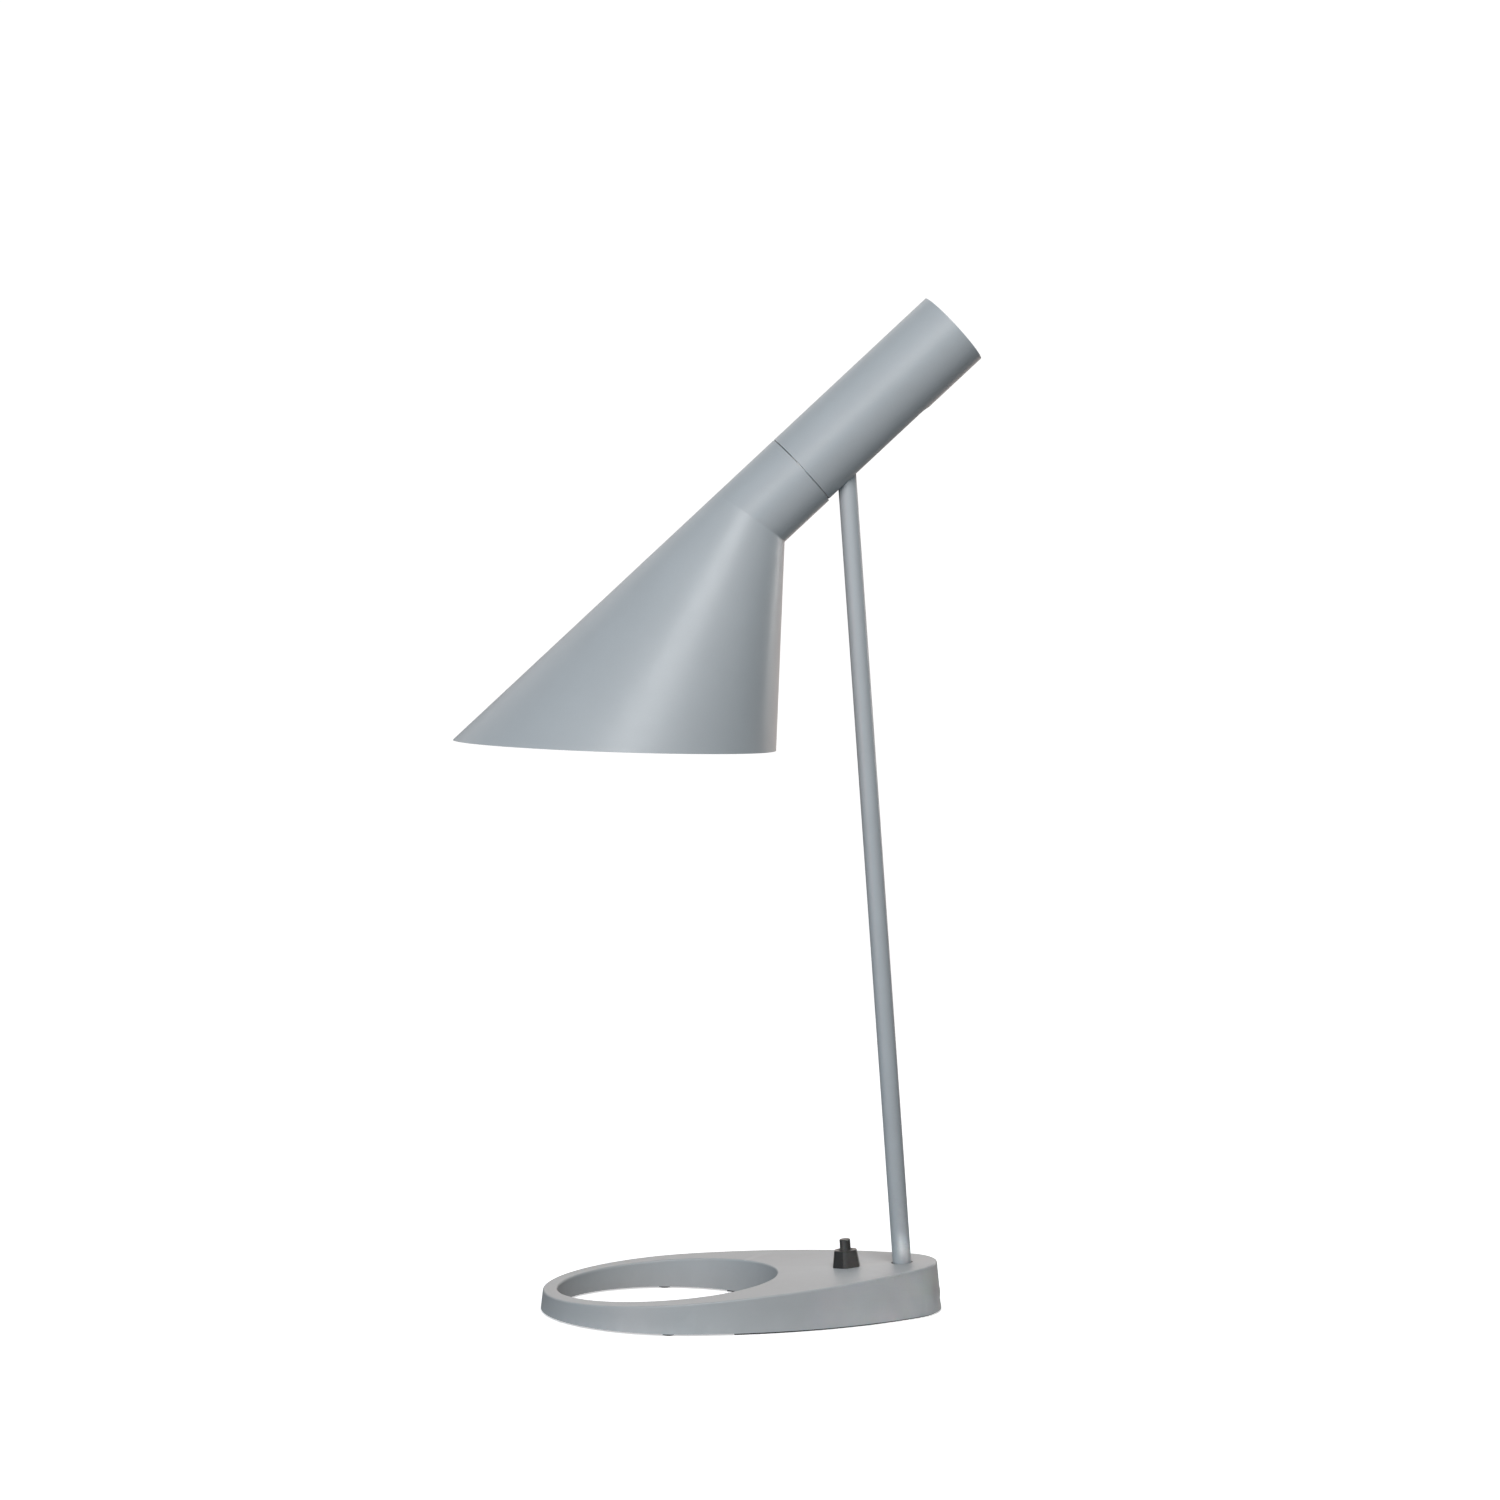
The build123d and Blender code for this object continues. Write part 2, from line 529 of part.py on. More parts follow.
def neck_coupling():
    """Inner sleeve that joins shade and tube, with the web that carries the lampholder."""
    sleeve = along_x(SLEEVE_RADIUS, SEAM_X - 14, SEAM_X + 8)
    sleeve -= along_x(SLEEVE_RADIUS - 1.8, SEAM_X - 20, SEAM_X + 20)
    sleeve -= block((SEAM_X - 1.5, SEAM_X + 20), (-6.8, 6.8), (-30, 0))
    sleeve += along_x(SLEEVE_RADIUS - 0.5, HOLDER_REAR, HOLDER_REAR + 2)
    sleeve -= Pos(0, 0, HOLDER_Z) * along_x(LEAD_RADIUS + 1, SEAM_X - 10, SEAM_X + 10)
    for y in (-HOLDER_SCREW_Y, HOLDER_SCREW_Y):
        sleeve -= Pos(0, y, HOLDER_Z) * along_x(HOLDER_SCREW_RADIUS, SEAM_X - 10, SEAM_X + 10)
    return HEAD_FRAME * sleeve


def hinge_bracket():
    """Bent saddle welded under the top of the tube, with a cheek each side of the fork."""
    inside = along_x(SLEEVE_RADIUS, -30, 30)
    cheek = along_y(CHEEK_RADIUS, CHEEK_INNER_Y, CHEEK_OUTER_Y)
    cheek += block((-CHEEK_RADIUS, CHEEK_RADIUS), (CHEEK_INNER_Y, CHEEK_OUTER_Y), (0, 30))
    saddle = along_x(SLEEVE_RADIUS, -SADDLE_HALF_LENGTH, SADDLE_HALF_LENGTH)
    saddle -= along_x(SLEEVE_RADIUS - SADDLE_THICKNESS, -30, 30)
    saddle = saddle & block((-30, 30), (-CHEEK_OUTER_Y, CHEEK_OUTER_Y), (0, 30))
    bracket = saddle + (cheek & inside) + (mirror(cheek, about=Plane.XZ) & inside)
    return HEAD_FRAME * (bracket - along_y(PIVOT_RADIUS + 0.05, -20, 20))


# ---- Lampholder and bulb ----
def on_holder_axis(solid):
    return HEAD_FRAME * Pos(0, 0, HOLDER_Z) * solid


def lampholder_shell():
    shell = along_x(HOLDER_RADIUS, HOLDER_FRONT, HOLDER_REAR)
    shell = fillet(shell.edges().group_by(Axis.X)[0], 1.0)
    shell -= along_x(12.3, SEAM_X - 14, HOLDER_REAR - 2.5)
    shell -= along_x(THREAD_OUTER_RADIUS + 0.05, HOLDER_FRONT, HOLDER_REAR - 5)
    shell -= along_x(9.8, HOLDER_FRONT - 1, HOLDER_FRONT + 6)
    shell -= along_x(LEAD_RADIUS + 1, HOLDER_REAR - 5, HOLDER_REAR + 1)
    for y in (-HOLDER_SCREW_Y, HOLDER_SCREW_Y):
        shell -= Pos(0, y) * along_x(HOLDER_SCREW_RADIUS + 0.1, HOLDER_REAR - 5, HOLDER_REAR + 1)
    return on_holder_axis(shell)


def lampholder_screws():
    screw = along_x(2.6, HOLDER_REAR - 4.3, HOLDER_REAR - 2.5)
    screw += along_x(HOLDER_SCREW_RADIUS - 0.05, HOLDER_REAR - 3, HOLDER_REAR + 2.5)
    screw -= block((HOLDER_REAR - 5, HOLDER_REAR - 3.3), (-3, 3), (-0.4, 0.4))
    return on_holder_axis(mirrored(Pos(0, HOLDER_SCREW_Y) * screw))


def lampholder_insert():
    """Ceramic disc that carries the centre contact."""
    disc = along_x(6.0, INSERT_FRONT_X, HOLDER_REAR - 6.5) - along_x(1.0, SEAM_X - 20, HOLDER_REAR)
    return on_holder_axis(disc)


def lampholder_contact():
    contact = along_x(2.2, INSERT_FRONT_X - 0.7, INSERT_FRONT_X)
    contact += along_x(0.95, INSERT_FRONT_X, HOLDER_REAR - 6.0)
    return on_holder_axis(contact)


def lampholder_thread():
    """Brass screw sleeve of the lampholder."""
    sleeve = along_x(THREAD_OUTER_RADIUS, HOLDER_FRONT + 6.2, SEAM_X - 14.2)
    sleeve -= along_x(THREAD_INNER_RADIUS, SEAM_X - 40, SEAM_X)
    return on_holder_axis(sleeve)


def bulb_cap():
    """Small screw cap with its insulator and centre contact."""
    cap = along_x(CAP_RADIUS, BULB_NECK_X + 2.0, CAP_TIP_X)
    cap += along_x(BULB_NECK_RADIUS, BULB_NECK_X, BULB_NECK_X + 2.0)
    taper = Cone(CAP_RADIUS, 3.2, 2.6, align=(Align.CENTER, Align.CENTER, Align.MIN))
    cap += Pos(CAP_TIP_X, 0, 0) * Rot(0, 90, 0) * taper
    return on_holder_axis(cap + along_x(2.3, CAP_TIP_X + 2, INSERT_FRONT_X - 0.8))


def bulb_outline(inset):
    """Points of the glass from the neck to the tip: a hollow flare, then the ball."""
    centre = BULB_NECK_X - sqrt((BULB_RADIUS + BULB_FLARE) ** 2 - (BULB_NECK_RADIUS + BULB_FLARE) ** 2)
    flare_centre = Vector(BULB_NECK_X, 0, BULB_NECK_RADIUS + BULB_FLARE)
    ball_centre = Vector(centre, 0, 0)
    ball, flare = BULB_RADIUS - inset, BULB_FLARE + inset
    join = ball_centre + (flare_centre - ball_centre).normalized() * ball
    neck = Vector(BULB_NECK_X, 0, BULB_NECK_RADIUS - inset)
    flare_out = ((neck + join) * 0.5 - flare_centre).normalized()
    tip = Vector(centre - ball, 0, 0)
    ball_out = ((join + tip) * 0.5 - ball_centre).normalized()
    flare_arc = ThreePointArc(neck, flare_centre + flare_out * flare, join)
    ball_arc = ThreePointArc(join, ball_centre + ball_out * ball, tip)
    return neck, flare_arc, ball_arc, tip


def bulb_glass():
    """Round small bulb: a thin shell of frosted glass."""
    neck, flare_arc, ball_arc, tip = bulb_outline(0.0)
    inner_neck, inner_flare, inner_ball, inner_tip = bulb_outline(BULB_GLASS_WALL)
    edges = [flare_arc, ball_arc, Line(tip, inner_tip), inner_ball, inner_flare, Line(inner_neck, neck)]
    return on_holder_axis(revolve(make_face(edges), axis=Axis.X))


NODES = [
    base_casting,
    base_cover,
    cover_screws,
    base_pad,
    front_feet,
    cord_grommet,
    stem,
    stem_ring,
    stem_grub_screws,
    stem_fork,
    friction_washers,
    spring_washers,
    pivot_screws,
    switch_collar,
    switch_washer,
    switch_body,
    switch_terminals,
    switch_plunger,
    switch_spring,
    terminal_block,
    terminal_screws,
    stem_lead,
    switch_leads,
    pivot_lead,
    shade,
    head_tube,
    tube_end_cap,
    neck_coupling,
    hinge_bracket,
    lampholder_shell,
    lampholder_screws,
    lampholder_insert,
    lampholder_contact,
    lampholder_thread,
    bulb_cap,
    bulb_glass,
]

for node in NODES:
    export_step(node(), f"parts/{node.__name__}.step")
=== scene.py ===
import json
import math

import bmesh
import bpy
from mathutils import Matrix, Vector


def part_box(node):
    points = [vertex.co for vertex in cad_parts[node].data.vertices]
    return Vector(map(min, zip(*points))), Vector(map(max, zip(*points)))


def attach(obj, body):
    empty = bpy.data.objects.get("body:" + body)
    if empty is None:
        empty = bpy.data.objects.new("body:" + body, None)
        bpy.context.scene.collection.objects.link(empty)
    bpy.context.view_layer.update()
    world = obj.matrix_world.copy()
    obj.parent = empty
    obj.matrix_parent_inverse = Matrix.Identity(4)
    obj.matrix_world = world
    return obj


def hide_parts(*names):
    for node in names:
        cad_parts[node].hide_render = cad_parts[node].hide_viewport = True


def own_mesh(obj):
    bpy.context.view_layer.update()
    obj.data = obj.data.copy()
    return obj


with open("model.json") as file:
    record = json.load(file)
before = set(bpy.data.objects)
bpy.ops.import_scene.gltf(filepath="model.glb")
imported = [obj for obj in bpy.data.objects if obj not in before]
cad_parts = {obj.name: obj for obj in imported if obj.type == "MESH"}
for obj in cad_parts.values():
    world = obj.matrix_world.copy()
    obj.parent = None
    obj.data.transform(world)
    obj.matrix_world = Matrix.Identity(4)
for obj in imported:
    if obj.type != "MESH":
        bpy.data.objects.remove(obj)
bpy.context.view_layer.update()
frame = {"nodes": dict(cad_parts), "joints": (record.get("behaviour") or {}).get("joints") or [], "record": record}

# Architect desk lamp. The lamp's own lengths are in millimetres, and its frame matrices turn them
# into metres. The stage, the lights and the camera are in metres.
MM = 0.001

# ---- What the frame says ----
joints = {joint["name"]: joint for joint in frame["joints"]}
PIVOT = Vector(joints["head_tilt"]["pos_m"])
DECK_NORMAL = -Vector(joints["switch_press"]["axis"])


def box_mm(node):
    low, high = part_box(node)
    return low / MM, high / MM


def half_width(node):
    low, high = box_mm(node)
    return (high.y - low.y) / 2


TUBE_RADIUS = half_width("head_tube")
STEM_RADIUS = half_width("stem")
BULB_RADIUS = half_width("bulb_glass")
HOLDER_RADIUS = half_width("lampholder_shell")
PLUNGER_FLANGE_RADIUS = half_width("switch_plunger")

# ---- Driving values of the head, along its axis from the pivot ----
HEAD_ELEVATION = math.radians(43.33)
SEAM_X, SEAM_GAP = -31.75, 0.5
TUBE_REAR = 82.45
TUBE_WALL = SHADE_WALL = 1.2
SLOT_LENGTH, SLOT_WIDTH = 75.0, 11.6
CONE_HALF_ANGLE = math.radians(22.35)
APEX_X = SEAM_X + 11.8
TIP_FROM_APEX = 253.4
CREASE_SOFTNESS = 0.7  # how far the bend between neck and cone reaches each way
EDGE_SOFTNESS = 0.15
HOLDER_Z = -5.0
HOLDER_REAR, HOLDER_FRONT = SEAM_X - 4.0, SEAM_X - 38.0
HOLDER_BORE, HOLDER_LIP = 9.8, 6.0
HOLDER_WELL_RADIUS, HOLDER_FLOOR, HOLDER_LEAD_HOLE = 7.65, 5.0, 2.6
GRIP_RIBS, RIB_DEPTH = 28, 0.7
BULB_NECK_X, BULB_NECK_RADIUS, BULB_FLARE, GLASS_WALL = SEAM_X - 36.5, 9.0, 15.0, 0.8

# ---- Driving values of the stem, the switch and the base ----
STEM_LEAN = math.radians(4.45)
STEM_BORE_RADIUS = 4.0
DECK_HEIGHT, DECK_SLOPE = 26.15, math.radians(4.2)
SWITCH_X = -32.9
PLUNGER_RADIUS, PLUNGER_TOP, PLUNGER_EDGE = 3.0, 15.35, 0.45
PLUNGER_FLANGE_TOP, PLUNGER_FLANGE = -6.2, 2.0
PLUNGER_PIN_RADIUS, PLUNGER_PIN_END = 1.2, 4.8
SPRING_SEAT, SPRING_TOP, SPRING_RADIUS, SPRING_WIRE, SPRING_TURNS = -15.0, -8.2, 2.6, 0.3, 5
GROMMET_Z, GROMMET_BORE, GROMMET_RADIUS = 8.2, 3.2, 4.55
GROMMET_LIP, GROMMET_LIP_LENGTH, GROMMET_FLANGE, GROMMET_MOUTH = 0.95, 1.2, 1.6, 1.4

TURN = 2 * math.pi
SHARP_DEGREES, BEVELLED_SHARP_DEGREES = 40, 60
LONGEST_REACH = 0.45  # of a side, so that two softened corners never meet


# ---- Frames: matrices from a sub-part's own millimetres to the lamp's metres ----
def frame_matrix(origin, x_axis, z_axis):
    y_axis = z_axis.cross(x_axis)
    turn = Matrix((x_axis, y_axis, z_axis)).transposed().to_4x4()
    return Matrix.Translation(origin) @ turn @ Matrix.Scale(MM, 4)


HEAD_AXIS = Vector((math.cos(HEAD_ELEVATION), 0, math.sin(HEAD_ELEVATION)))
HEAD = frame_matrix(PIVOT, HEAD_AXIS, Vector((-HEAD_AXIS.z, 0, HEAD_AXIS.x)))
HOLDER = HEAD @ Matrix.Translation((0, 0, HOLDER_Z))
STEM_AXIS = Vector((-math.sin(STEM_LEAN), 0, math.cos(STEM_LEAN)))


def standing_on(origin, axis):
    """A frame whose X runs along an axis, for turned pieces."""
    side = Vector((0, 1, 0))
    return frame_matrix(origin, axis, axis.cross(side))


STEM = standing_on(Vector((0, 0, 0)), STEM_AXIS)
SWITCH = standing_on(Vector((SWITCH_X, 0, DECK_HEIGHT + math.tan(DECK_SLOPE) * SWITCH_X)) * MM, DECK_NORMAL)
INLET = standing_on(Vector((0, 0, GROMMET_Z)) * MM, Vector((1, 0, 0)))


# ---- Mesh helpers ----
def mesh_piece(name, verts, faces, matrix):
    """A mesh object from points in a sub-part's own frame, with clean outward normals."""
    mesh = bpy.data.meshes.new(name)
    mesh.from_pydata([matrix @ Vector(v) for v in verts], [], faces)
    work = bmesh.new()
    work.from_mesh(mesh)
    bmesh.ops.remove_doubles(work, verts=work.verts, dist=1e-6)
    bmesh.ops.dissolve_degenerate(work, edges=work.edges, dist=1e-7)
    bmesh.ops.recalc_face_normals(work, faces=work.faces)
    work.to_mesh(mesh)
    work.free()
    piece = bpy.data.objects.new(name, mesh)
    bpy.context.scene.collection.objects.link(piece)
    return piece


def smooth(piece, sharp_degrees=SHARP_DEGREES):
    piece.data.shade_smooth()
    piece.data.set_sharp_from_angle(angle=math.radians(sharp_degrees))


def soften_edges(piece, width, segments=3):
    bevel = piece.modifiers.new("soft_edges", "BEVEL")
    bevel.width = width * MM
    bevel.segments = segments
    bevel.limit_method = "ANGLE"
    bevel.angle_limit = math.radians(SHARP_DEGREES)
    bevel.harden_normals = True
    smooth(piece, BEVELLED_SHARP_DEGREES)


def bend(before, corner, after, steps=5):
    """Points of a soft corner."""
    points = []
    for k in range(steps + 1):
        t = k / steps
        points.append(before * (1 - t) ** 2 + corner * (2 * t * (1 - t)) + after * t**2)
    return points


def soft_profile(corners, softness):
    """A closed profile of (x, radius) corners with each corner softened."""
    corners = [Vector(c) for c in corners]
    count = len(corners)
    points = []
    for k, corner in enumerate(corners):
        before, after = corners[k - 1], corners[(k + 1) % count]
        room = min((before - corner).length * LONGEST_REACH, (after - corner).length * LONGEST_REACH)
        reach = min(softness, room)
        start = corner + (before - corner).normalized() * reach
        end = corner + (after - corner).normalized() * reach
        points += bend(start, corner, end, 4)
    return points


def turned(name, profile, matrix, segments=96, closed=True, radius_at=None):
    """A turned piece: (x, radius) points round the frame's X axis, closed from last to first if asked."""
    verts = []
    for x, radius in profile:
        for k in range(segments):
            angle = TURN * k / segments
            r = radius_at(x, radius, angle) if radius_at else radius
            verts.append((x, r * math.sin(angle), r * math.cos(angle)))
    rows = len(profile)
    faces = []
    for row in range(rows if closed else rows - 1):
        here, there = row * segments, (row + 1) % rows * segments
        for k in range(segments):
            after = (k + 1) % segments
            faces.append((here + k, here + after, there + after, there + k))
    piece = mesh_piece(name, verts, faces, matrix)
    smooth(piece)
    return piece


def finish_piece(piece, body, node, slot, *materials):
    for material in materials:
        piece.data.materials.append(material)
    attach(piece, body)
    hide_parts(node)


# ---- Materials ----
class Nodes:
    """A short way to write a node material."""

    def __init__(self, name, **inputs):
        self.material = bpy.data.materials.new(name)
        self.material.use_nodes = True
        self.tree = self.material.node_tree
        self.shader = self.tree.nodes["Principled BSDF"]
        for key, value in inputs.items():
            self.shader.inputs[key.replace("_", " ")].default_value = value

    def add(self, kind, values=None, **settings):
        node = self.tree.nodes.new("ShaderNode" + kind)
        for key, value in settings.items():
            setattr(node, key, value)
        for key, value in (values or {}).items():
            node.inputs[key].default_value = value
        return node

    def join(self, source, output, target, entry):
        self.tree.links.new(source.outputs[output], target.inputs[entry])

    def noise(self, size_mm, detail=3.0, roughness=0.55, stretch=None):
        """Noise whose cells are about size_mm across, fixed to the object."""
        place = self.add("TexCoord")
        source = place
        if stretch:
            source = self.add("Mapping", {"Scale": stretch})
            self.join(place, "Object", source, "Vector")
        values = {"Scale": 1 / (size_mm * MM), "Detail": detail, "Roughness": roughness}
        texture = self.add("TexNoise", values)
        self.join(source, "Vector" if stretch else "Object", texture, "Vector")
        return texture

    def ramp(self, source, output, low, high, dark, light):
        ramp = self.add("ValToRGB")
        ramp.color_ramp.elements[0].position = low
        ramp.color_ramp.elements[0].color = (*dark, 1)
        ramp.color_ramp.elements[1].position = high
        ramp.color_ramp.elements[1].color = (*light, 1)
        self.join(source, output, ramp, "Fac")
        return ramp

    def blend_colours(self, factor, output, first, second, amount):
        """Second over first, as far as the factor times an amount says."""
        scale = self.add("Math", {1: amount}, operation="MULTIPLY")
        self.join(factor, output, scale, 0)
        mix = self.add("Mix", data_type="RGBA")
        self.join(scale, 0, mix, "Factor")
        self.tree.links.new(first, mix.inputs[6])
        self.tree.links.new(second, mix.inputs[7])
        return mix.outputs[2]

    def colour(self, socket):
        self.tree.links.new(socket, self.shader.inputs["Base Color"])

    def roughness(self, source, low, high):
        spread = self.add("MapRange", {"To Min": low, "To Max": high})
        self.join(source, "Fac", spread, "Value")
        self.join(spread, "Result", self.shader, "Roughness")

    def bump(self, height, output, depth_mm, normal=None):
        bump = self.add("Bump", {"Strength": 1.0, "Distance": depth_mm * MM})
        self.join(height, output, bump, "Height")
        if normal:
            self.join(normal, "Normal", bump, "Normal")
        self.join(bump, "Normal", self.shader, "Normal")
        return bump


def shade_of(colour, factor):
    return tuple(min(1.0, part * factor) for part in colour)


def powder_coat(name, colour, edge_wear_and_highlight_colour, gloss=0.46):
    """Satin powder coat: fine orange peel, faint cloudiness, and lighter edges, partly worn paint and partly a
    painted edge highlight.
    """
    m = Nodes(name, Specular_IOR_Level=0.5, Coat_Weight=0.12, Coat_Roughness=0.3)
    clouds = m.noise(38, 3, 0.6)
    base = m.ramp(clouds, "Fac", 0.35, 0.65, shade_of(colour, 0.975), shade_of(colour, 1.025))
    grain = m.noise(0.55, 2, 0.5)
    specks = m.ramp(grain, "Fac", 0.3, 0.7, shade_of(colour, 0.95), shade_of(colour, 1.04))
    even = m.add("Mix", {0: 0.35}, data_type="RGBA")
    m.join(base, "Color", even, 6)
    m.join(specks, "Color", even, 7)
    # Sharp edges are lightened: partly wear, partly a painted highlight along the edges.
    edges = m.add("NewGeometry")
    worn_and_highlit_edges = m.add("MapRange", {"From Min": 0.52, "From Max": 0.6, "To Min": 0.0, "To Max": 1.0})
    m.join(edges, "Pointiness", worn_and_highlit_edges, "Value")
    scuffs = m.noise(4, 5, 0.7)
    edge = m.ramp(scuffs, "Fac", 0.3, 0.7, shade_of(edge_wear_and_highlight_colour, 0.92), edge_wear_and_highlight_colour)
    m.colour(m.blend_colours(worn_and_highlit_edges, "Result", even.outputs[2], edge.outputs["Color"], 0.5))
    m.roughness(m.noise(6, 4, 0.6), gloss - 0.05, gloss + 0.06)
    peel = m.bump(m.noise(0.9, 2, 0.5), "Fac", 0.004)
    m.bump(grain, "Fac", 0.002, peel)
    return m.material


def inner_white(name):
    """Matt white enamel inside the shade, a little warmer and greyer in patches."""
    m = Nodes(name, Specular_IOR_Level=0.45)
    clouds = m.noise(30, 4, 0.6)
    m.colour(m.ramp(clouds, "Fac", 0.3, 0.7, (0.80, 0.79, 0.77), (0.86, 0.855, 0.84)).outputs["Color"])
    m.roughness(m.noise(3, 4, 0.6), 0.5, 0.62)
    m.bump(m.noise(0.8, 3, 0.55), "Fac", 0.02)
    return m.material


def plastic(name, colour, low, high, grain_mm=0.4, depth_mm=0.004, wear=1.6, gloss=0.5):
    """Moulded plastic or rubber: a fine texture with lighter, rubbed edges."""
    m = Nodes(name, Specular_IOR_Level=gloss)
    clouds = m.noise(5, 4, 0.6)
    body = m.ramp(clouds, "Fac", 0.3, 0.7, shade_of(colour, 0.88), shade_of(colour, 1.12))
    edges = m.add("NewGeometry")
    rubbed = m.add("MapRange", {"From Min": 0.53, "From Max": 0.64, "To Min": 0.0, "To Max": 1.0})
    m.join(edges, "Pointiness", rubbed, "Value")
    dust = m.noise(1.5, 5, 0.7)
    pale = m.ramp(dust, "Fac", 0.35, 0.65, colour, shade_of(colour, wear))
    m.colour(m.blend_colours(rubbed, "Result", body.outputs["Color"], pale.outputs["Color"], 0.6))
    m.roughness(m.noise(2.5, 4, 0.6), low, high)
    m.bump(m.noise(grain_mm, 3, 0.55), "Fac", depth_mm)
    return m.material


def metal(name, colour, low, high, stretch=(1, 1, 1), grain_mm=0.6, depth_mm=0.003):
    """Bare or plated metal with a directional grain and uneven tarnish."""
    m = Nodes(name, Metallic=1.0)
    tarnish = m.noise(6, 5, 0.65)
    dull, bright = shade_of(colour, 0.82), shade_of(colour, 1.06)
    m.colour(m.ramp(tarnish, "Fac", 0.3, 0.7, dull, bright).outputs["Color"])
    m.roughness(m.noise(3, 5, 0.65), low, high)
    m.bump(m.noise(grain_mm, 4, 0.6, stretch), "Fac", depth_mm)
    return m.material


def frosted(name):
    """Glass frosted on its inside: milky, with a smooth outside."""
    m = Nodes(
        name,
        Specular_IOR_Level=0.5,
        Transmission_Weight=0.35,
        IOR=1.45,
        Subsurface_Weight=0.2,
        Subsurface_Scale=0.004,
    )
    frost = m.noise(2.2, 4, 0.6)
    m.colour(m.ramp(frost, "Fac", 0.3, 0.7, (0.88, 0.87, 0.84), (0.95, 0.945, 0.92)).outputs["Color"])
    m.roughness(m.noise(1.2, 3, 0.6), 0.22, 0.34)
    m.bump(m.noise(0.5, 3, 0.55), "Fac", 0.004)
    return m.material


GREY_PAINT = (0.365, 0.392, 0.412)
BASE_PAINT = (0.372, 0.385, 0.394)
# Lighter edge colour: partly worn paint, partly a painted highlight on the edges.
EDGE_WEAR_AND_HIGHLIGHT = (0.52, 0.54, 0.55)

MATERIALS = {
    "grey_paint": powder_coat("grey_powder_coat", GREY_PAINT, EDGE_WEAR_AND_HIGHLIGHT),
    "base_paint": powder_coat("base_powder_coat", BASE_PAINT, EDGE_WEAR_AND_HIGHLIGHT, 0.5),
    "black_plastic": plastic("black_plastic", (0.026, 0.025, 0.024), 0.3, 0.4, 0.3, 0.002, 1.8, 0.3),
    "black_moulding": plastic("black_moulding", (0.025, 0.025, 0.026), 0.45, 0.6, 0.35, 0.006),
    "black_rubber": plastic("black_rubber", (0.022, 0.022, 0.022), 0.62, 0.8, 0.6, 0.02, 2.0),
    "plated_steel": metal("zinc_plate", (0.60, 0.60, 0.58), 0.24, 0.4, (1, 1, 6)),
    "black_steel": metal("black_oxide", (0.06, 0.06, 0.062), 0.3, 0.45),
    "washer_plastic": plastic("nylon", (0.72, 0.70, 0.63), 0.4, 0.5, 0.5, 0.004, 1.1),
    "brass": metal("brass", (0.78, 0.58, 0.26), 0.2, 0.36),
    "white_plastic": plastic("white_moulding", (0.74, 0.73, 0.69), 0.36, 0.5, 0.5, 0.005, 1.1),
    "lead_sheath": plastic("lead_sheath", (0.045, 0.045, 0.046), 0.4, 0.55, 0.8, 0.01),
    "ceramic_insert": plastic("steatite", (0.78, 0.75, 0.68), 0.55, 0.7, 0.25, 0.01, 1.1),
    "cast_aluminium": metal("cast_aluminium", (0.62, 0.62, 0.63), 0.42, 0.6, (1, 1, 1), 0.5, 0.02),
    "nickel_cap": metal("nickel_plate", (0.70, 0.67, 0.60), 0.16, 0.3, (1, 6, 1)),
    "frosted_glass": frosted("frosted_glass"),
}
INNER_WHITE = inner_white("inner_white_enamel")


def dress_cad_nodes():
    """Every CAD node gets its slot's finished material."""
    slot_of = {part["node"]: part["material_slot"] for part in frame["record"]["subparts"]}
    for name, node in frame["nodes"].items():
        node.data.materials.clear()
        node.data.materials.append(MATERIALS[slot_of[name]])


# ---- Shade ----
def shade_sections(inset):
    """For an angle round the neck: the points where its line starts, bends and ends."""
    half = CONE_HALF_ANGLE
    radius = TUBE_RADIUS - inset
    axis = Vector((-math.cos(half), 0, -math.sin(half)))
    apex = Vector((APEX_X, 0, TUBE_RADIUS)) + axis * (inset / math.sin(half))
    crease_top = APEX_X - TUBE_RADIUS / math.tan(half)
    rim_sum = APEX_X - TIP_FROM_APEX + TUBE_RADIUS  # x + z is the same all round the rim

    def at(angle):
        y, z = radius * math.sin(angle), radius * math.cos(angle)
        crease = Vector((crease_top + (radius - z) * math.tan(half) / 2, y, z))
        ray = (crease - apex).normalized()
        rim = apex + ray * ((rim_sum - apex.x - apex.z) / (ray.x + ray.z))
        return Vector((SEAM_X - SEAM_GAP / 2, y, z)), crease, rim

    return at


def shade_line(start, crease, rim, rows=14):
    """One line of the shade's surface from the seam to the rim, soft where it bends."""
    to_seam = (start - crease).normalized() * CREASE_SOFTNESS
    to_rim = (rim - crease).normalized() * CREASE_SOFTNESS
    neck = [start.lerp(crease + to_seam, k / 4) for k in range(4)]
    cone = [(crease + to_rim).lerp(rim, k / rows) for k in range(1, rows + 1)]
    return neck + bend(crease + to_seam, crease, crease + to_rim) + cone


def make_shade():
    segments = 240
    outer, inner = shade_sections(0.0), shade_sections(SHADE_WALL)
    loops = []
    for k in range(segments):
        angle = TURN * k / segments
        outside, inside = shade_line(*outer(angle)), shade_line(*inner(angle))
        loops.append(outside + inside[::-1])
    rows, outside_rows = len(loops[0]), len(loops[0]) // 2
    verts = [point for loop in loops for point in loop]
    faces = []
    for k in range(segments):
        here, there = k * rows, (k + 1) % segments * rows
        for row in range(rows):
            after = (row + 1) % rows
            faces.append((here + row, here + after, there + after, there + row))
    piece = mesh_piece("lamp_shade", verts, faces, HEAD)
    soften_edges(piece, EDGE_SOFTNESS)
    finish_piece(piece, "head", "shade", "grey_paint", MATERIALS["grey_paint"], INNER_WHITE)
    for index, face in enumerate(piece.data.polygons):
        row = index % rows
        face.material_index = 1 if outside_rows <= row < rows - 1 else 0


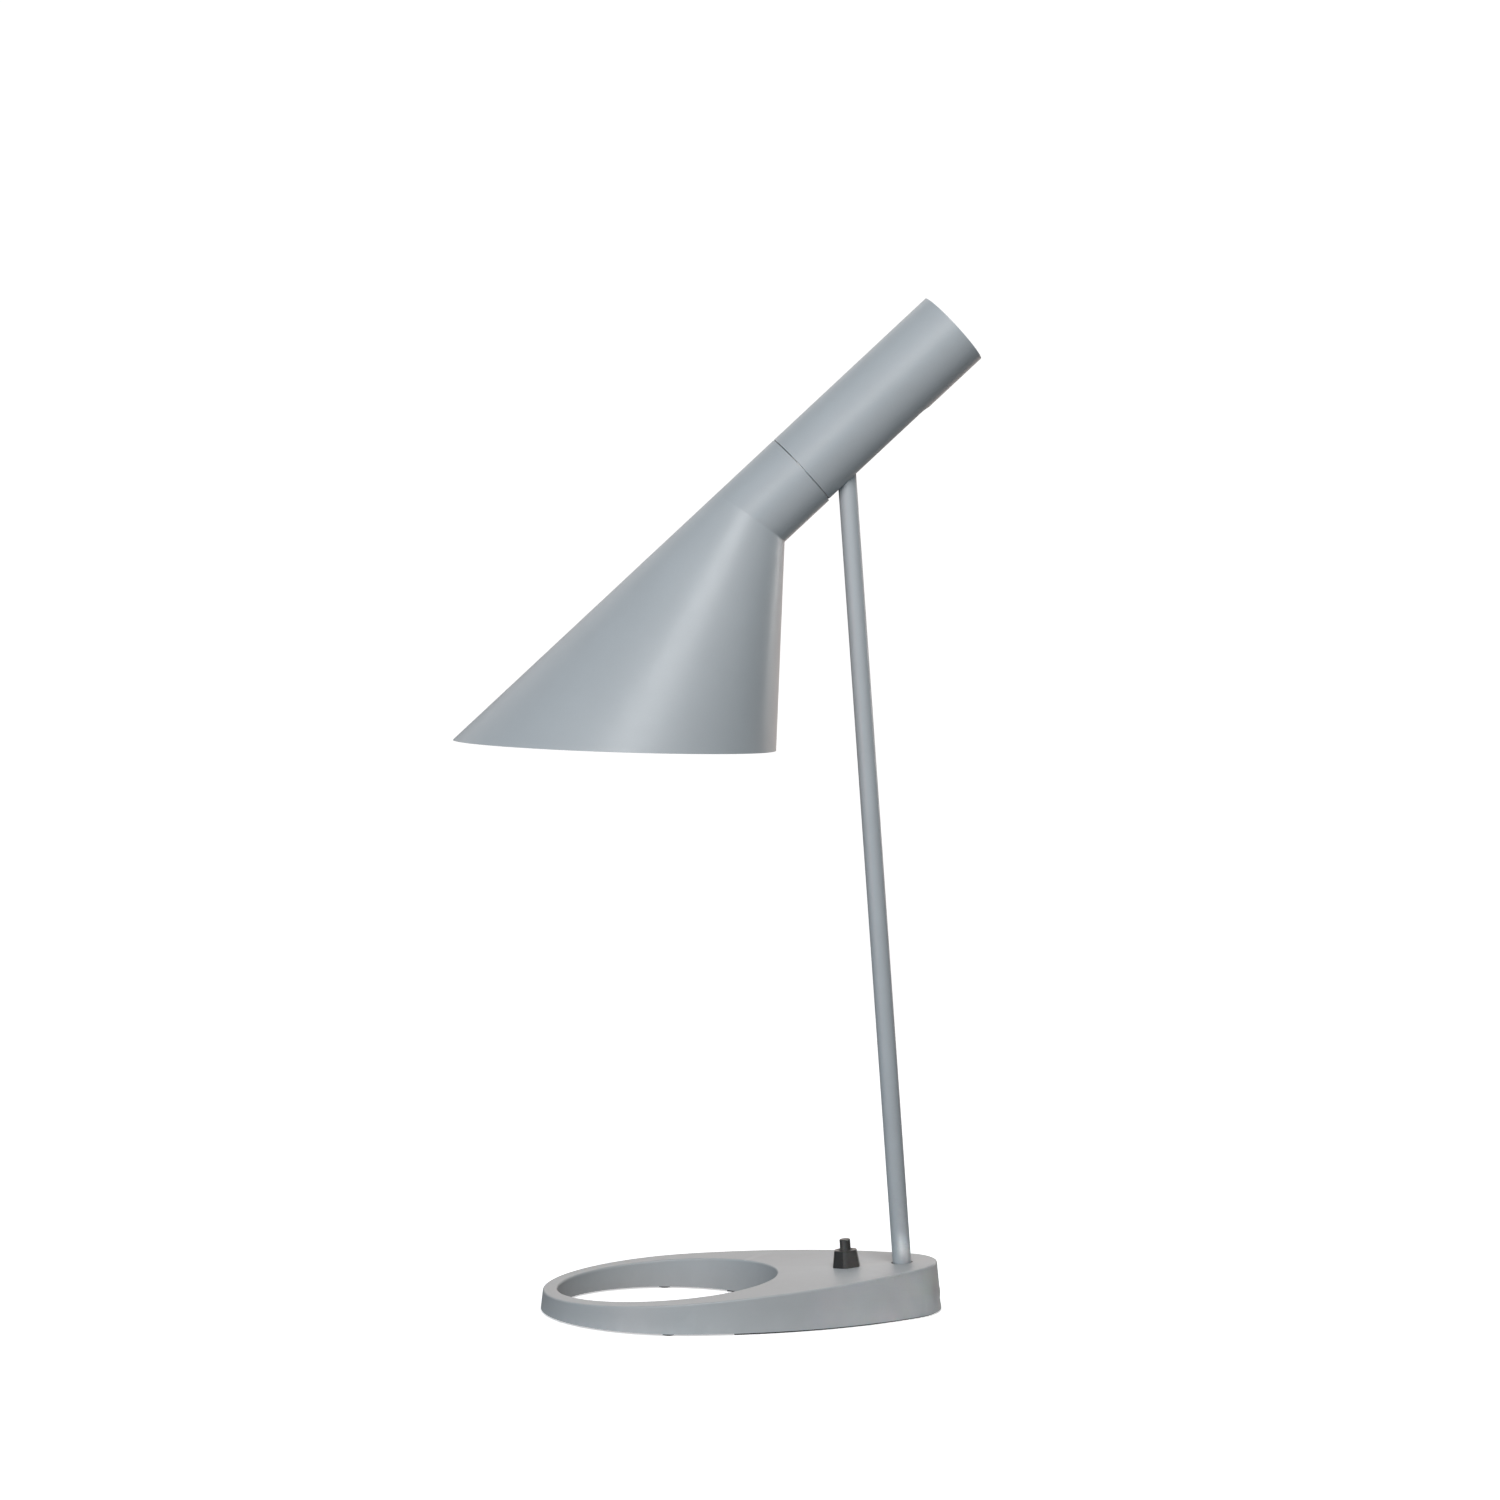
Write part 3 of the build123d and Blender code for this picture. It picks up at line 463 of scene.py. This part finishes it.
# ---- Tube with its slot ----
def tube_columns(plain=150, in_slot=16):
    """Angles round the tube and where each line starts behind the slot's round end."""
    half = SLOT_WIDTH / 2
    edge = math.asin(half / TUBE_RADIUS)
    columns = []
    for k in range(plain + 1):
        columns.append((math.pi + edge + (TURN - 2 * edge) * k / plain, None))
    for k in range(1, in_slot):
        across = -half * math.cos(math.pi * k / in_slot)
        columns.append((math.pi + math.asin(across / TUBE_RADIUS), half * math.sin(math.pi * k / in_slot)))
    return columns


def tube_points(columns, beside, behind):
    """Points of both walls, with the index of each by its wall, column and row."""
    slot_end = behind[0]
    verts, index = [], {}
    for side, radius in enumerate((TUBE_RADIUS, TUBE_RADIUS - TUBE_WALL)):
        for c, (angle, end) in enumerate(columns):
            for row, x in enumerate(beside + behind):
                if end is not None:
                    if row < len(beside):
                        continue
                    x += end * (TUBE_REAR - x) / (TUBE_REAR - slot_end)
                index[side, c, row] = len(verts)
                verts.append((x, radius * math.sin(angle), radius * math.cos(angle)))
    return verts, index


def tube_faces(index, count, rows):
    """Faces of both walls, and of every edge between them: the slot's and both ends'."""

    def cell(c, row):
        keys = [(c, row), ((c + 1) % count, row), ((c + 1) % count, row + 1), (c, row + 1)]
        return keys if all((0, *key) in index for key in keys) else None

    faces, edges = [], {}
    for c in range(count):
        for row in range(rows - 1):
            keys = cell(c, row)
            if keys is None:
                continue
            faces.append([index[(0, *key)] for key in keys])
            faces.append([index[(1, *key)] for key in reversed(keys)])
            for a, b in zip(keys, keys[1:] + keys[:1]):
                edge = frozenset((a, b))
                edges[edge] = None if edge in edges else (a, b)
    for pair in edges.values():
        if pair:
            a, b = pair
            faces.append([index[(0, *b)], index[(0, *a)], index[(1, *a)], index[(1, *b)]])
    return faces


def make_head_tube():
    start, slot_end = SEAM_X + SEAM_GAP / 2, SEAM_X + SLOT_LENGTH - SLOT_WIDTH / 2
    beside = [start + (slot_end - start) * k / 10 for k in range(10)]
    behind = [slot_end + (TUBE_REAR - slot_end) * k / 8 for k in range(9)]
    columns = tube_columns()
    verts, index = tube_points(columns, beside, behind)
    faces = tube_faces(index, len(columns), len(beside) + len(behind))
    piece = mesh_piece("head_tube_shell", verts, faces, HEAD)
    soften_edges(piece, EDGE_SOFTNESS)
    finish_piece(piece, "head", "head_tube", "grey_paint", MATERIALS["grey_paint"])


# ---- Stem ----
def make_stem():
    low, high = box_mm("stem")
    lift = math.sin(STEM_LEAN) * STEM_RADIUS
    bottom, top = ((edge / math.cos(STEM_LEAN)) for edge in (low.z + lift, high.z - lift))
    corners = [(bottom, STEM_BORE_RADIUS), (bottom, STEM_RADIUS), (top, STEM_RADIUS), (top, STEM_BORE_RADIUS)]
    piece = turned("stem_tube", soft_profile(corners, 0.4), STEM, 64)
    finish_piece(piece, "base", "stem", "grey_paint", MATERIALS["grey_paint"])


# ---- Switch button ----
def make_plunger():
    """Round button with a shallow dished top, standing on its flange."""
    top, rim = PLUNGER_TOP, PLUNGER_RADIUS - PLUNGER_EDGE
    dish = [(top - 0.22, 0.0), (top - 0.2, rim * 0.4), (top - 0.12, rim * 0.75)]
    edge = [(top, rim), (top - 0.13, rim + 0.32), (top - 0.5, PLUNGER_RADIUS)]
    flange = [
        (PLUNGER_FLANGE_TOP, PLUNGER_RADIUS),
        (PLUNGER_FLANGE_TOP, PLUNGER_FLANGE_RADIUS),
        (PLUNGER_FLANGE_TOP - PLUNGER_FLANGE, PLUNGER_FLANGE_RADIUS),
        (PLUNGER_FLANGE_TOP - PLUNGER_FLANGE, PLUNGER_PIN_RADIUS),
        (PLUNGER_FLANGE_TOP - PLUNGER_PIN_END, PLUNGER_PIN_RADIUS),
        (PLUNGER_FLANGE_TOP - PLUNGER_PIN_END, 0.0),
    ]
    piece = turned("switch_button", dish + edge + flange, SWITCH, 64, closed=False)
    finish_piece(piece, "button", "switch_plunger", "black_plastic", MATERIALS["black_plastic"])


def make_spring(steps=200, sides=12):
    """Coil spring under the button."""
    gap = SPRING_WIRE + 0.05
    low, high = SPRING_SEAT + gap, SPRING_TOP - gap
    rise = (high - low) / (TURN * SPRING_TURNS * SPRING_RADIUS)
    verts = []
    for step in range(steps + 1):
        share = step / steps
        angle = TURN * SPRING_TURNS * share
        outwards = Vector((0, math.sin(angle), math.cos(angle)))
        along = Vector((rise, outwards.z, -outwards.y)).normalized()
        across = along.cross(outwards)
        centre = Vector((low + (high - low) * share, 0, 0)) + outwards * SPRING_RADIUS
        for side in range(sides):
            turn = TURN * side / sides
            verts.append(centre + (outwards * math.cos(turn) + across * math.sin(turn)) * SPRING_WIRE)
    faces = [tuple(range(sides)), tuple(range(steps * sides, (steps + 1) * sides))]
    for step in range(steps):
        here, there = step * sides, (step + 1) * sides
        for side in range(sides):
            after = (side + 1) % sides
            faces.append((here + side, here + after, there + after, there + side))
    piece = mesh_piece("switch_coil", verts, faces, SWITCH)
    smooth(piece, BEVELLED_SHARP_DEGREES)
    finish_piece(piece, "base", "switch_spring", "plated_steel", MATERIALS["plated_steel"])
    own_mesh(piece)


# ---- Cord grommet ----
def make_grommet():
    """Rubber grommet with a domed flange outside and a lip inside the wall."""
    low, high = box_mm("cord_grommet")
    face = high.x - GROMMET_FLANGE
    flange = half_width("cord_grommet")
    corners = [
        (low.x, GROMMET_BORE),
        (low.x, GROMMET_RADIUS + GROMMET_LIP),
        (low.x + GROMMET_LIP_LENGTH, GROMMET_RADIUS + GROMMET_LIP),
        (low.x + GROMMET_LIP_LENGTH, GROMMET_RADIUS),
        (face, GROMMET_RADIUS),
        (face, flange),
        (high.x - 0.6, flange),
        (high.x, GROMMET_BORE + GROMMET_MOUTH),
        (high.x, GROMMET_BORE),
    ]
    piece = turned("inlet_grommet", soft_profile(corners, 0.5), INLET, 64)
    finish_piece(piece, "base", "cord_grommet", "black_rubber", MATERIALS["black_rubber"])


# ---- Lampholder and bulb ----
def make_lampholder():
    """Moulded holder with grip ribs round its middle."""
    corners = [
        (HOLDER_FRONT, HOLDER_BORE),
        (HOLDER_FRONT, HOLDER_RADIUS),
        (HOLDER_REAR, HOLDER_RADIUS),
        (HOLDER_REAR, HOLDER_LEAD_HOLE),
        (HOLDER_REAR - HOLDER_FLOOR, HOLDER_LEAD_HOLE),
        (HOLDER_REAR - HOLDER_FLOOR, HOLDER_WELL_RADIUS),
        (HOLDER_FRONT + HOLDER_LIP, HOLDER_WELL_RADIUS),
        (HOLDER_FRONT + HOLDER_LIP, HOLDER_BORE),
    ]
    profile = soft_profile(corners, 1.0)
    wall = [p for p in profile if abs(p.y - HOLDER_RADIUS) < 1e-6]
    first, last = min(p.x for p in wall), max(p.x for p in wall)
    extra = [Vector((first + (last - first) * k / 24, HOLDER_RADIUS)) for k in range(1, 24)]
    place = profile.index(next(p for p in wall if p.x == first)) + 1
    profile[place:place] = extra

    def ribs(x, radius, angle):
        if radius < HOLDER_RADIUS - 1e-6:
            return radius
        fade = min(1.0, max(0.0, (x - first - 4) / 2), max(0.0, (last - 3 - x) / 2))
        groove = max(0.0, math.cos(GRIP_RIBS * angle)) ** 2
        return radius - RIB_DEPTH * fade * groove

    piece = turned("lampholder_ribbed", profile, HOLDER, 336, radius_at=ribs)
    finish_piece(piece, "head", "lampholder_shell", "white_plastic", MATERIALS["white_plastic"])


def bulb_side(inset):
    """Profile of the glass from the neck to the tip."""
    reach = BULB_RADIUS + BULB_FLARE
    spread = BULB_NECK_RADIUS + BULB_FLARE
    centre = BULB_NECK_X - math.sqrt(reach**2 - spread**2)
    lean = math.asin(spread / reach)
    points = []
    for k in range(9):
        angle = (math.pi / 2 - lean) * k / 8
        flare = BULB_FLARE + inset
        points.append((BULB_NECK_X - flare * math.sin(angle), spread - flare * math.cos(angle)))
    for k in range(1, 41):
        angle = lean + (math.pi - lean) * k / 40
        ball = BULB_RADIUS - inset
        points.append((centre + ball * math.cos(angle), ball * math.sin(angle)))
    return points


def make_bulb():
    profile = bulb_side(0.0)[::-1] + bulb_side(GLASS_WALL)
    piece = turned("bulb_envelope", profile, HOLDER, 96, closed=False)
    finish_piece(piece, "head", "bulb_glass", "frosted_glass", MATERIALS["frosted_glass"])


# ---- Stage, light and camera ----
FLOOR_REACH, FLOOR_FADE_START, FLOOR_FADE_END = 1.6, 0.45, 1.5
FLOOR_PAPER, FLOOR_UNSEEN, FLOOR_GLOW = (0.93, 0.93, 0.93), (0.34, 0.34, 0.34), 0.6
ROOM_COLOUR, ROOM_STRENGTH, BACKDROP_STRENGTH = (0.93, 0.97, 1.0), 0.03, 1.05


def floor_surface():
    """White paper that melts into its surround, throws little light up and hides nothing from below."""
    m = Nodes("studio_floor")
    m.tree.nodes.remove(m.shader)
    path = m.add("LightPath")
    paper = m.add("BsdfDiffuse", {"Color": (*FLOOR_PAPER, 1)})
    glow = m.add("Emission", {"Color": (1, 1, 1, 1), "Strength": FLOOR_GLOW})
    seen = m.add("AddShader")
    unseen = m.add("BsdfDiffuse", {"Color": (*FLOOR_UNSEEN, 1)})
    surface = m.add("MixShader")
    away = m.add("BsdfTransparent")
    edge = m.add("MixShader")
    sides = m.add("NewGeometry")
    underneath = m.add("MixShader")
    place = m.add("TexCoord")
    distance = m.add("VectorMath", operation="LENGTH")
    fade_values = {"From Min": FLOOR_FADE_START, "From Max": FLOOR_FADE_END, "To Min": 0.0, "To Max": 1.0}
    fade = m.add("MapRange", fade_values)
    m.join(place, "Object", distance, 0)
    m.join(distance, "Value", fade, "Value")
    m.tree.links.new(paper.outputs[0], seen.inputs[0])
    m.tree.links.new(glow.outputs[0], seen.inputs[1])
    m.join(path, "Is Camera Ray", surface, 0)
    m.tree.links.new(unseen.outputs[0], surface.inputs[1])
    m.tree.links.new(seen.outputs[0], surface.inputs[2])
    m.join(fade, "Result", edge, 0)
    m.tree.links.new(surface.outputs[0], edge.inputs[1])
    m.tree.links.new(away.outputs[0], edge.inputs[2])
    m.join(sides, "Backfacing", underneath, 0)
    m.tree.links.new(edge.outputs[0], underneath.inputs[1])
    m.tree.links.new(away.outputs[0], underneath.inputs[2])
    m.join(underneath, "Shader", m.tree.nodes["Material Output"], "Surface")
    return m.material


def make_floor():
    size = FLOOR_REACH
    corners = [(-size, -size, 0), (size, -size, 0), (size, size, 0), (-size, size, 0)]
    mesh = bpy.data.meshes.new("floor")
    mesh.from_pydata(corners, [], [(0, 1, 2, 3)])
    floor = bpy.data.objects.new("floor", mesh)
    bpy.context.scene.collection.objects.link(floor)
    mesh.materials.append(floor_surface())


def make_world():
    """White to the camera, and a dimmer room to everything else."""
    world = bpy.data.worlds.new("studio")
    world.use_nodes = True
    tree = world.node_tree
    room = tree.nodes["Background"]
    room.inputs["Color"].default_value = (*ROOM_COLOUR, 1)
    room.inputs["Strength"].default_value = ROOM_STRENGTH
    white = tree.nodes.new("ShaderNodeBackground")
    white.inputs["Color"].default_value = (1, 1, 1, 1)
    white.inputs["Strength"].default_value = BACKDROP_STRENGTH
    path = tree.nodes.new("ShaderNodeLightPath")
    mix = tree.nodes.new("ShaderNodeMixShader")
    tree.links.new(path.outputs["Is Camera Ray"], mix.inputs["Fac"])
    tree.links.new(room.outputs["Background"], mix.inputs[1])
    tree.links.new(white.outputs["Background"], mix.inputs[2])
    tree.links.new(mix.outputs["Shader"], tree.nodes["World Output"].inputs["Surface"])
    bpy.context.scene.world = world


def softbox(name, place, target, width, height, power, colour, spread=math.pi):
    light = bpy.data.lights.new(name, "AREA")
    light.shape = "RECTANGLE"
    light.size = width
    light.size_y = height
    light.energy = power
    light.color = colour
    light.spread = spread
    holder = bpy.data.objects.new(name, light)
    holder.location = place
    aim = Vector(target) - Vector(place)
    holder.rotation_euler = aim.to_track_quat("-Z", "Y").to_euler()
    holder.visible_camera = False
    bpy.context.scene.collection.objects.link(holder)


LAMP_MIDDLE = (-0.1, 0, 0.3)
SOFTBOXES = {
    # name: (place, width, height, watts, colour), all aimed at the middle of the lamp
    "key_high": ((0.2, -1.25, 1.8), 0.9, 0.6, 22.5, (0.98, 0.99, 1.0)),
    "key_low": ((-0.25, -1.75, 0.95), 0.9, 0.6, 10.1, (1.0, 0.97, 0.95)),
    "front_low": ((-0.2, -2.2, 0.2), 1.2, 0.3, 4.0, (0.3, 0.77, 1.0)),
    "front_left": ((-1.34, -1.3, 0.25), 0.5, 0.9, 9.6, (1.0, 0.88, 0.87)),
    "left": ((-2.0, -0.4, 0.9), 1.2, 1.2, 5.2, (0.25, 0.73, 1.0)),
    "rear_low": ((0.6, 1.9, 0.15), 2.6, 1.2, 13.9, (1.0, 0.88, 0.82)),
    "rear_high": ((-0.4, 1.7, 1.3), 2.4, 1.2, 11.0, (1.0, 0.97, 0.96)),
    "rear_top": ((-0.2, 1.3, 1.9), 1.4, 0.8, 4.5, (1.0, 0.98, 0.95)),
}
BEAMS = {
    # name: (place, aim, width and height, watts, colour, spread in degrees)
    "tail_beam": ((0.82, -1.2, 0.08), (-0.003, -0.033, 0.012), 0.06, 0.005, (1.0, 0.98, 0.95), 4),
    "edge_beam": ((1.35, 0.95, 0.5), (-0.08, 0, 0.46), 0.4, 0.06, (1.0, 0.98, 0.96), 16),
}


def make_lights():
    for name, (place, width, height, power, colour) in SOFTBOXES.items():
        softbox(name, place, LAMP_MIDDLE, width, height, power, colour)
    for name, (place, aim, size, power, colour, spread) in BEAMS.items():
        softbox(name, place, aim, size, size, power, colour, math.radians(spread))


CAMERA_PLACE = (-0.1686, -2.1662, 0.4146)
CAMERA_YAW, CAMERA_PITCH, CAMERA_ROLL = 2.12, -2.74, 0.36  # degrees
LENS, SENSOR = 94.34, 36.0


def make_camera():
    """A little above the middle of the lamp, nearly square to its side."""
    yaw, pitch, roll = (math.radians(angle) for angle in (CAMERA_YAW, CAMERA_PITCH, CAMERA_ROLL))
    ahead = Vector((math.sin(yaw) * math.cos(pitch), math.cos(yaw) * math.cos(pitch), math.sin(pitch)))
    level = Vector((math.cos(yaw), -math.sin(yaw), 0))
    above = level.cross(ahead)
    right = level * math.cos(roll) + above * math.sin(roll)
    up = above * math.cos(roll) - level * math.sin(roll)
    data = bpy.data.cameras.new("camera")
    data.sensor_width = SENSOR
    data.lens = LENS
    camera = bpy.data.objects.new("camera", data)
    turn = Matrix((right, up, -ahead)).transposed().to_4x4()
    camera.matrix_world = Matrix.Translation(CAMERA_PLACE) @ turn
    bpy.context.scene.collection.objects.link(camera)
    bpy.context.scene.camera = camera


dress_cad_nodes()
make_shade()
make_head_tube()
make_stem()
make_plunger()
make_spring()
make_grommet()
make_lampholder()
make_bulb()
make_floor()
make_world()
make_lights()
make_camera()
bpy.context.scene.view_settings.view_transform = "Standard"


def plain(bounds):
    return [[float(value) for value in corner] for corner in bounds]
